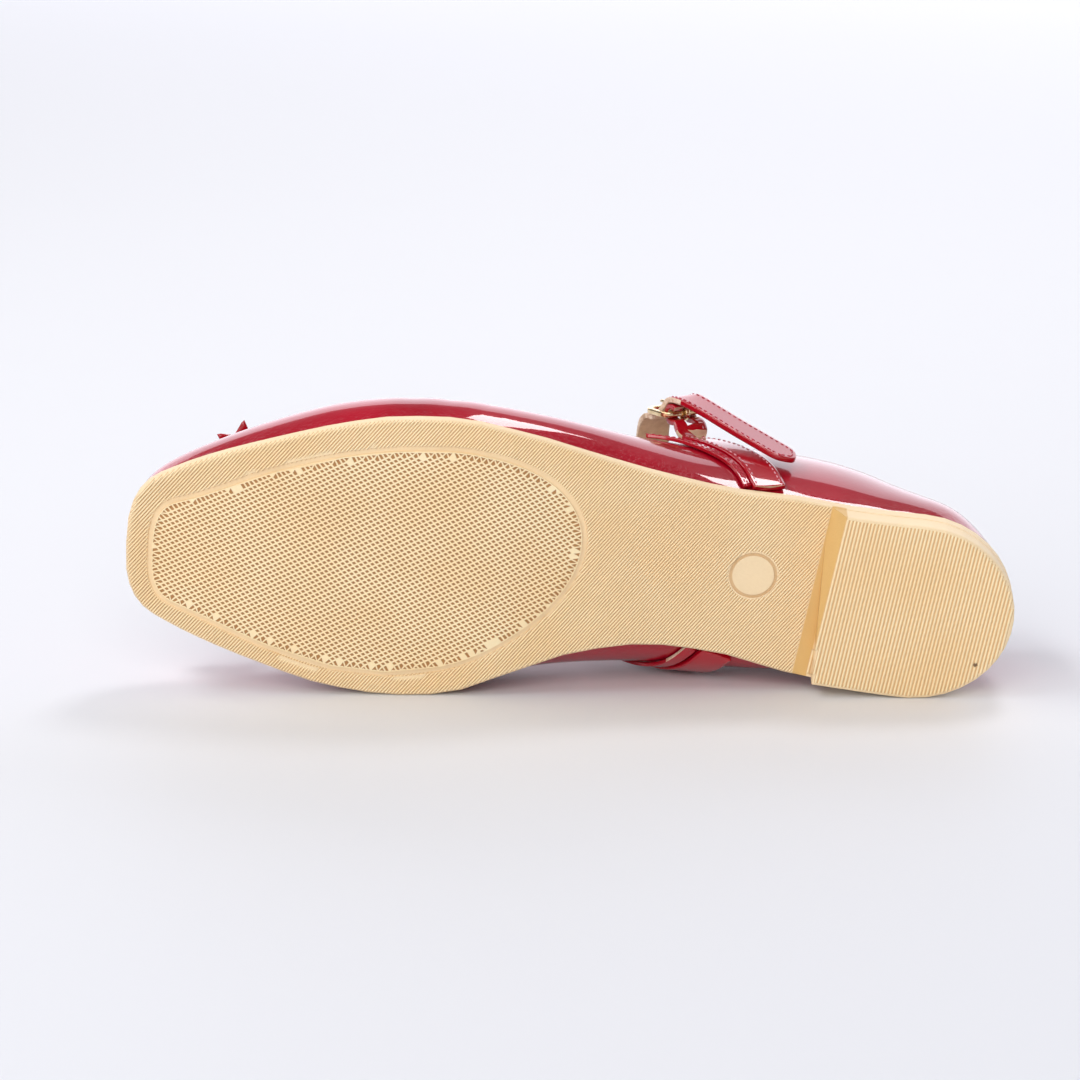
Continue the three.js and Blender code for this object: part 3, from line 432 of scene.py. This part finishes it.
# %% [markdown]
# Skins come next. Each solid's triangles are paired into four-sided faces, its sharp corners
# are marked, and a subdivision modifier rounds what is left. Rays through the thickness tell
# the cut edges from the faces, and the side that looks away from the foot is the outer one.

# %% Skins from the solids
FOOT_LINE = (Vector((14, 0, 26)), Vector((230, 0, 14)))


def paired(node):
    """The solid's mesh as four-sided faces where its triangles pair up."""
    bm = bmesh.new()
    bm.from_mesh(nodes[node].data)
    bmesh.ops.remove_doubles(bm, verts=bm.verts, dist=1e-6)
    bmesh.ops.join_triangles(bm, faces=bm.faces, angle_face_threshold=math.radians(35),
                             angle_shape_threshold=math.radians(60))
    bmesh.ops.recalc_face_normals(bm, faces=bm.faces)
    return bm


def mark_creases(bm, angle, weight):
    """Keeps the edges sharper than an angle partly sharp."""
    layer = bm.edges.layers.float.new("crease_edge")
    count = 0
    for edge in bm.edges:
        if edge.is_manifold and edge.calc_face_angle(0) > math.radians(angle):
            edge[layer] = weight
            count += 1
    return count


def nearest_on_foot(place):
    start, end = FOOT_LINE
    run = end - start
    share = max(0, min(1, (place - start).dot(run) / run.length_squared))
    return start + run * share


def faces_out(face):
    """True where a face looks away from the line down the middle of the foot."""
    place = TO_SHOE @ face.calc_center_median()
    normal = (TO_SHOE.to_3x3() @ face.normal).normalized()
    return normal.dot(place - nearest_on_foot(place)) > 0


def sort_faces(bm, thin, edge_slot=2):
    """Gives outer faces slot 0, inner faces slot 1 and cut edges their own slot."""
    tree = BVHTree.FromBMesh(bm)
    for face in bm.faces:
        centre = face.calc_center_median()
        hit = tree.ray_cast(centre - face.normal * 1e-5, -face.normal)
        if hit[0] is None or hit[3] > thin * MM:
            face.material_index = edge_slot
        else:
            face.material_index = 0 if faces_out(face) else 1


def add_piece(name, bm, materials, levels=0, smooth=True, stands_for=()):
    mesh = bpy.data.meshes.new(name)
    for face in bm.faces:
        face.smooth = smooth
    bm.to_mesh(mesh)
    bm.free()
    for material in materials:
        mesh.materials.append(material)
    piece = bpy.data.objects.new(name, mesh)
    bpy.context.scene.collection.objects.link(piece)
    if levels:
        modifier = piece.modifiers.new("rounding", "SUBSURF")
        modifier.levels = levels
        modifier.render_levels = levels
    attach(piece, "root")
    if stands_for:
        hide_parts(*stands_for)
    return piece


# %% [markdown]
# The upper's leather was pulled over a last and lasted under the insole, which leaves small
# pleats just above the sole, and it has a few soft folds where the foot bends. Each fold is a
# row in a table: where it runs on the wall, how deep it is and how wide.

# %% Upper
FOLDS = [
    # Each runs on the wall from (ax, ay) to (bx, by), seen from above.
    dict(ax=150, ay=44, bx=158, by=30, depth=0.35, width=3.0),
    dict(ax=161, ay=45, bx=166, by=28, depth=0.45, width=3.4),
    dict(ax=172, ay=44, bx=173, by=26, depth=0.30, width=3.0),
    dict(ax=128, ay=38, bx=140, by=33, depth=0.25, width=3.0),
    dict(ax=152, ay=-36, bx=158, by=-26, depth=0.30, width=3.0),
    dict(ax=165, ay=-37, bx=168, by=-24, depth=0.35, width=3.2),
    dict(ax=38, ay=24, bx=30, by=22, depth=0.25, width=4.0),
]


def fold_depth(place):
    """How far a place on the wall sinks into the listed folds, in millimetres."""
    sink = 0
    for fold in FOLDS:
        start = Vector((fold["ax"], fold["ay"]))
        run = Vector((fold["bx"], fold["by"])) - start
        flat = Vector((place.x, place.y)) - start
        share = flat.dot(run) / run.length_squared
        across = abs(flat.x * run.y - flat.y * run.x) / run.length / fold["width"]
        along = max(0, abs(share - 0.5) - 0.3) / 0.45
        trough = math.exp(-across * across * 2.5)
        ridge = 0.35 * math.exp(-(across - 1.4) ** 2 * 3)
        sink += fold["depth"] * (trough - ridge) * math.exp(-along * along * 3)
    return sink


def rounded(bm, levels):
    """The mesh after smooth subdivision, so that finer shapes can be put on it."""
    mesh = bpy.data.meshes.new("rounding")
    bm.to_mesh(mesh)
    bm.free()
    helper = bpy.data.objects.new("rounding", mesh)
    bpy.context.scene.collection.objects.link(helper)
    modifier = helper.modifiers.new("rounding", "SUBSURF")
    modifier.levels = levels
    modifier.render_levels = levels
    bpy.context.view_layer.update()
    ready = helper.evaluated_get(bpy.context.evaluated_depsgraph_get())
    made = bmesh.new()
    made.from_mesh(ready.to_mesh())
    ready.to_mesh_clear()
    bpy.data.objects.remove(helper)
    bpy.data.meshes.remove(mesh)
    return made


def make_upper():
    bm = paired("upper")
    mark_creases(bm, 50, 0.5)
    bm = rounded(bm, 2)
    sort_faces(bm, 2.6, 0)
    lasting = bm.verts.layers.float.new("lasting")
    for vert in bm.verts:
        place = TO_SHOE @ vert.co
        if any(face.material_index for face in vert.link_faces):
            continue
        height = sole_tree.find_nearest(vert.co)[3] / MM
        vert[lasting] = max(0, min(1, (height - 0.2) / 0.8)) * math.exp(-max(0, height - 1.5) / 2)
        vert.co -= vert.normal * fold_depth(place) * min(1, height / 4) * MM
    count = len(bm.faces)
    piece = add_piece("upper_skin", bm, [patent, lining], 0, True, ["upper"])
    print("upper faces", count)
    return piece


sole_bm = bmesh.new()
sole_bm.from_mesh(nodes["outsole"].data)
sole_tree = BVHTree.FromBMesh(sole_bm)
upper_skin = make_upper()

# %% [markdown]
# The insole sits inside, with a soft top and a rolled edge.

# %% Insole
bm = paired("insole")
mark_creases(bm, 50, 0.6)
insole_skin = add_piece("insole_skin", bm, [sock], 1, True, ["insole"])
print("insole", len(insole_skin.data.polygons))

# %% [markdown]
# The outsole's solid is kept, with rubber on it. Its fine tread differs by region: ribs on the
# border and on the heel, pits on the forefoot panel, and plain rubber at the rim, the breast,
# the round mark and the moat round the panel. Rays from below tell where the sole is.

# %% Tread regions
PANEL = [
    dict(x=121.8, medial=15.2, lateral=38.8),
    dict(x=140.0, medial=20.6, lateral=37.1),
    dict(x=150.0, medial=24.1, lateral=36.5),
    dict(x=159.2, medial=27.3, lateral=36.7),
    dict(x=174.1, medial=30.0, lateral=35.6),
    dict(x=189.0, medial=29.4, lateral=32.8),
    dict(x=208.9, medial=24.5, lateral=26.2),
    dict(x=228.8, medial=17.2, lateral=16.8),
    dict(x=241.2, medial=13.0, lateral=12.0),
]
PANEL_BACK_ROUND = 35
PANEL_FRONT_ROUND = 7
MARK_RADIUS = 7.1
RIM = 0.4
HEEL_RIM = 0.8
MOAT = 1.55

DOWN = (SHOE.to_3x3() @ Vector((0, 0, -1))).normalized()


def under(x, y):
    """The height of the sole's underside at a place of the tread, or None beside it."""
    start = SHOE @ Vector((x, y, -20))
    hit = sole_tree.ray_cast(start, -DOWN)
    return None if hit[0] is None else (TO_SHOE @ hit[0]).z


def closing(distance, depth, power):
    if distance >= depth:
        return 1.0
    left = 1 - max(distance, 0) / depth
    return max(1 - left ** power, 0) ** (1 / power)


def panel_sides(x):
    """Where a line across the forefoot panel leaves it, on the medial and lateral side."""
    first = PANEL[0]["x"]
    last = PANEL[-1]["x"]
    i = max(k for k in range(len(PANEL) - 1) if PANEL[k]["x"] <= max(x, first))
    a, b = PANEL[i], PANEL[i + 1]
    share = (x - a["x"]) / (b["x"] - a["x"])
    medial = a["medial"] + (b["medial"] - a["medial"]) * share
    lateral = a["lateral"] + (b["lateral"] - a["lateral"]) * share
    ends = closing(x - first, PANEL_BACK_ROUND, 2) * closing(last - x, PANEL_FRONT_ROUND, 3)
    half = (medial + lateral) / 2 * ends
    middle = (lateral - medial) / 2
    return middle - half, middle + half


def panel_outline(count):
    """The panel's outline as a tree of close points."""
    tree = KDTree(2 * count + 2)
    first = PANEL[0]["x"]
    last = PANEL[-1]["x"]
    for k in range(count + 1):
        x = first + (last - first) * (1 - math.cos(math.pi * k / count)) / 2
        for side, y in enumerate(panel_sides(x)):
            tree.insert(Vector((x, y, 0)), 2 * k + side)
    tree.balance()
    return tree


outline_points = panel_outline(900)


def panel_gap(x, y):
    """How far a place is outside the panel's outline, in millimetres; negative inside."""
    distance = outline_points.find(Vector((x, y, 0)))[2]
    if PANEL[0]["x"] < x < PANEL[-1]["x"]:
        low, high = panel_sides(x)
        if low < y < high:
            return -distance
    return distance


def on_rim(x, y, rim):
    """True within the plain rim at the sole's outline."""
    for k in range(8):
        angle = k * math.pi / 4
        if under(x + rim * math.cos(angle), y + rim * math.sin(angle)) is None:
            return True
    return False


def breast_distance(x, y):
    """Signed distance ahead of the breast's line on the tread."""
    return (x - BREAST.x) * math.cos(BREAST_TURN) + (y - BREAST.y) * math.sin(BREAST_TURN)


def region(x, y):
    ahead = breast_distance(x, y)
    if under(x, y) is None or on_rim(x, y, RIM if ahead > 0 else HEEL_RIM):
        return "none"
    if ahead < -0.3:
        return "heel"
    if ahead < BREAST_RUN + 0.6:
        return "none"
    if (Vector((x, y)) - MARK).length < MARK_RADIUS:
        return "none"
    gap = panel_gap(x, y)
    if gap < 0:
        return "panel"
    return "none" if gap < MOAT else "border"


grid = [[region(x, y) for y in range(-44, 48, 4)] for x in range(2, 248, 4)]
print("regions", {name: sum(row.count(name) for row in grid) for name in ("heel", "border", "panel")})

# %% [markdown]
# Each rib follows a straight line across the tread. The line is walked in small steps, and a
# run of them inside one region becomes a strip of a grid, two faces wide. Its middle row is
# lifted to the rib's top and its outer rows stay on the sole.

# %% Ribs
RIB_ALONG = Vector((-0.60, 0.80))
HEEL_ALONG = Vector((-math.sin(BREAST_TURN), math.cos(BREAST_TURN)))
BORDER_PITCH = 0.76
HEEL_PITCH = 1.01
RIB_END = 0.25
RIB_STEP = 2.5


def find_runs(origin, along, wanted, reach):
    """Stretches of a straight line that lie in the wanted region, as pairs of distances."""
    runs = []
    start = None
    last = None
    at = -reach
    while at <= reach:
        place = origin + along * at
        inside = region(place.x, place.y) == wanted
        if inside and start is None:
            start = at if last is None else refine(origin, along, wanted, last, at)
        if not inside and start is not None:
            end = refine(origin, along, wanted, at, last)
            if end - start > 1.0:
                runs.append((start, end))
            start = None
        last = at
        at += 1.0
    return runs


def refine(origin, along, wanted, outside, inside):
    """The last place inside the region, by halving the step that leaves it."""
    for _ in range(4):
        middle = (outside + inside) / 2
        place = origin + along * middle
        if region(place.x, place.y) == wanted:
            inside = middle
        else:
            outside = middle
    return inside


def add_rib(bm, origin, along, run, width, height):
    """One rib over a run of its line, with a short slope at each end."""
    length = run[1] - run[0]
    count = max(1, round(length / RIB_STEP)) + 2
    aside = Vector((-along.y, along.x))
    rise = bm.verts.layers.float["rise"]
    made = bmesh.ops.create_grid(bm, x_segments=count, y_segments=2, size=1)
    for vert in made["verts"]:
        step = round((vert.co.x + 1) / 2 * count)
        on_top = abs(vert.co.y) < 0.5
        place = RIB_END + (length - 2 * RIB_END) * (step - 1) / (count - 2)
        lift = height if on_top else 0.08
        if step in (0, count):
            place = length * step / count
            lift = -0.04
        flat = origin + along * (run[0] + place)
        level = under(flat.x, flat.y)
        flat = flat + aside * vert.co.y * width / 2
        vert[rise] = 1.0 if on_top else 0.0
        vert.co = Vector((flat.x, flat.y, level - lift))


def add_ribs(name, centre, along, wanted, pitch, height, material, spread, reach):
    """Parallel ribs, each as wide as their pitch, over one region of the tread."""
    bm = bmesh.new()
    bm.verts.layers.float.new("rise")
    across = Vector((-along.y, along.x))
    count = int(spread / pitch)
    ribs = 0
    for k in range(-count, count + 1):
        origin = centre + across * pitch * k
        for run in find_runs(origin, along, wanted, reach):
            add_rib(bm, origin, along, run, pitch, height)
            ribs += 1
    bm.transform(SHOE)
    for face in bm.faces:
        if face.normal.dot(DOWN) < 0:
            face.normal_flip()
    piece = add_piece(name, bm, [material], 0, False)
    print(name, ribs, "ribs", len(piece.data.polygons), "faces")
    return piece


border_ribs = add_ribs("border_ribs", Vector((150, 0)), RIB_ALONG, "border", BORDER_PITCH,
                       0.36, rib_rubber, 110, 130)
heel_ribs = add_ribs("heel_ribs", Vector((26, 0)), HEEL_ALONG, "heel", HEEL_PITCH,
                     0.4, heel_rubber, 28, 30)

# %% [markdown]
# The forefoot panel is a mesh of small square pits. A grid is slanted to the pits' two
# directions and cut to the panel, its edge is drawn onto the outline, and each of its faces is
# inset twice: once for the flat top of the mesh, and once more for the wall down to the pit.
# Faces that the outline makes much smaller or larger than a cell stay flat.

# %% Panel pits
PIT_A = Vector((-0.88, -0.95))
PIT_B = Vector((-1.12, 0.67))
PIT_ROWS = 62
PIT_CENTRE = Vector((181.5, 1.5))
PIT_TOP = 0.3
PIT_WALL = 0.14
PIT_DEPTH = 0.27
PANEL_RISE = 0.3


def lowest(x, y):
    """The sole's lowest underside near a place, which passes over the panel's moat."""
    turns = [k * math.pi / 3 for k in range(6)]
    levels = [under(x + 0.7 * math.cos(a), y + 0.7 * math.sin(a)) for a in turns]
    levels.append(under(x, y))
    return min(level for level in levels if level is not None)


def make_panel():
    bm = bmesh.new()
    rise = bm.verts.layers.float.new("rise")
    bmesh.ops.create_grid(
        bm, x_segments=2 * PIT_ROWS, y_segments=2 * PIT_ROWS, size=PIT_ROWS)
    for vert in bm.verts:
        flat = PIT_CENTRE + PIT_A * vert.co.x + PIT_B * vert.co.y
        vert.co = Vector((flat.x, flat.y, 0))
    outside = [f for f in bm.faces if panel_gap(*f.calc_center_median().xy) > -0.35]
    bmesh.ops.delete(bm, geom=outside, context="FACES")
    for vert in bm.verts:
        if vert.is_boundary:
            vert.co = outline_points.find(vert.co)[0]
    bmesh.ops.remove_doubles(bm, verts=bm.verts, dist=0.1)
    for vert in bm.verts:
        vert.co.z = lowest(vert.co.x, vert.co.y) - PANEL_RISE
    bmesh.ops.recalc_face_normals(bm, faces=bm.faces)
    for face in bm.faces:
        if face.normal.z > 0:
            face.normal_flip()
    edge = [e for e in bm.edges if e.is_boundary]
    skirt = bmesh.ops.extrude_edge_only(bm, edges=edge)
    for vert in [v for v in skirt["geom"] if isinstance(v, bmesh.types.BMVert)]:
        vert.co.z += PANEL_RISE + 0.1
    cell = abs(PIT_A.x * PIT_B.y - PIT_A.y * PIT_B.x)
    cells = [f for f in bm.faces
             if abs(f.normal.z) > 0.7 and 0.6 * cell < f.calc_area() < 1.6 * cell]
    bmesh.ops.inset_individual(bm, faces=cells, thickness=PIT_TOP, depth=0)
    bmesh.ops.inset_individual(bm, faces=cells, thickness=PIT_WALL, depth=0)
    for vert in bm.verts:
        vert[rise] = 1.0
    for face in cells:
        for vert in face.verts:
            vert.co.z += PIT_DEPTH
            vert[rise] = 0.0
    bm.transform(SHOE)
    bmesh.ops.recalc_face_normals(bm, faces=bm.faces)
    piece = add_piece("panel_mesh", bm, [pit_rubber], 0, False)
    print("panel", len(cells), "pits")
    return piece


panel_mesh = make_panel()
nodes["outsole"].data.materials.clear()
nodes["outsole"].data.materials.append(rubber)

# %% [markdown]
# Bands, strips and straps: patent on the face, a pale cut edge, lining behind. They are soft
# leather, so their corners are only partly sharp.

# %% Straps
SEWN_UP_TO = 40


def above_sewing(face):
    """True on a band's free part."""
    return (TO_SHOE @ face.calc_center_median()).z > SEWN_UP_TO


def looks_ahead(face):
    """True where a face looks towards the toe."""
    return (TO_SHOE.to_3x3() @ face.normal).x > 0


def make_band(node, thin, weight, materials, pale=None):
    """A band's skin, red all over where it is sewn down or its edge is folded under."""
    bm = paired(node)
    sort_faces(bm, thin)
    for face in bm.faces:
        if pale and not pale(face):
            face.material_index = 0
    count = mark_creases(bm, 40, weight)
    piece = add_piece(node + "_skin", bm, materials, 2, True, [node])
    print(node, count, "creased edges")
    return piece


red = patent_strap
strap_long_skin = make_band("strap_long", 2.4, 0.6, [red, lining, cut_edge], above_sewing)
strap_short_skin = make_band("strap_short", 2.4, 0.75, [red, lining, red])
strip_lateral_skin = make_band("edge_strip_lateral", 1.9, 0.75, [red, red, red])
strip_medial_skin = make_band("edge_strip_medial", 1.9, 0.75, [red, red, cut_edge], looks_ahead)

# %% [markdown]
# Stitches run along both edges of the bands, in rows a little inside the edge. Each row starts
# at the same end in every run, because the edges are followed in the mesh's own order.

# %% Stitches
STITCH = 1.9
STITCH_SHARE = 0.62
THREAD_WIDTH = 0.4
THREAD_HEIGHT = 0.32
STITCH_RISE = 0.06


def follow(line, left):
    """Lengthens a line of vertices at its end, over the edges that are left."""
    onward = True
    while onward:
        onward = [e for e in line[-1].link_edges if e in left]
        if onward:
            left.remove(onward[0])
            line.append(onward[0].other_vert(line[-1]))


def edge_lines(node, thin):
    """The corner lines between a band's outer face and its cut edges, as ordered points."""
    bm = paired(node)
    sort_faces(bm, thin)
    left = [e for e in bm.edges if e.is_manifold
            and sorted(f.material_index for f in e.link_faces) == [0, 2]]
    lines = []
    while left:
        line = list(left.pop().verts)
        follow(line, left)
        line.reverse()
        follow(line, left)
        if len(line) > 4:
            lines.append([(v.co.copy(), face_side(v)) for v in line])
    bm.free()
    return lines


def face_side(vert):
    """The direction from a corner vertex into its outer face, and that face's normal."""
    faces = [f for f in vert.link_faces if f.material_index == 0]
    centre = sum((f.calc_center_median() for f in faces), Vector()) / len(faces)
    return (centre - vert.co).normalized(), faces[0].normal.copy()


def add_stitches(name, node, thin, inset, material, keep):
    """A row of bars inside each edge of a band, where the keep function allows them."""
    bm = bmesh.new()
    total = 0
    for line in edge_lines(node, thin):
        travelled = 0.0
        due = STITCH / 2
        for (a, side_a), (b, side_b) in zip(line, line[1:]):
            length = (b - a).length / MM
            while length > 0 and due <= travelled + length:
                share = (due - travelled) / length
                place = a.lerp(b, share)
                run = (b - a).normalized()
                face_normal = side_a[1].lerp(side_b[1], share).normalized()
                side = face_normal.cross(run).normalized()
                if side.dot(side_a[0]) < 0:
                    side = -side
                due += STITCH
                spot = place + side * inset * MM
                if not keep(TO_SHOE @ spot):
                    continue
                add_bar(bm, spot + face_normal * STITCH_RISE * MM, run, face_normal)
                total += 1
            travelled += length
    piece = add_piece(name, bm, [material], 0, True)
    print(name, total, "stitches")
    return piece


def add_bar(bm, place, run, up):
    """One stitch: a drawn out ball, lying along the run."""
    made = bmesh.ops.create_uvsphere(bm, u_segments=8, v_segments=5, radius=1)
    side = up.cross(run).normalized()
    axes = Matrix((side, up, run)).transposed().to_4x4()
    half = Vector((THREAD_WIDTH, THREAD_HEIGHT, STITCH * STITCH_SHARE)) / 2 * MM
    shape = Matrix.Diagonal((half.x, half.y, half.z, 1))
    bmesh.ops.transform(bm, matrix=Matrix.Translation(place) @ axes @ shape, verts=made["verts"])


def on_lateral_band(place):
    return place.z < 42 and place.x < 94


def everywhere(place):
    return True


stitches_lateral = add_stitches(
    "stitches_lateral_band", "strap_short", 2.4, 1.3, thread_painted_glint, on_lateral_band)
stitches_strip = add_stitches(
    "stitches_lateral_strip", "edge_strip_lateral", 1.9, 0.8, red_thread, everywhere)
stitches_long = add_stitches(
    "stitches_strap_long", "strap_long", 2.4, 1.2, red_thread, everywhere)

# %% [markdown]
# The buckle is cast and polished, so its corners are soft. The bow is folded ribbon.

# %% Buckle and bow
def make_trim(node, angle, weight, material):
    bm = paired(node)
    count = mark_creases(bm, angle, weight)
    print(node, count, "creased edges")
    return add_piece(node + "_skin", bm, [material], 2, True, [node])


buckle_skin = make_trim("buckle_frame", 55, 0.4, gold)
prong_skin = make_trim("buckle_prong", 55, 0.4, gold)
bow_skin = make_trim("bow_ribbon", 40, 0.8, patent_strap)
knot_skin = make_trim("bow_knot", 40, 0.8, patent_strap)
sole_bm.free()
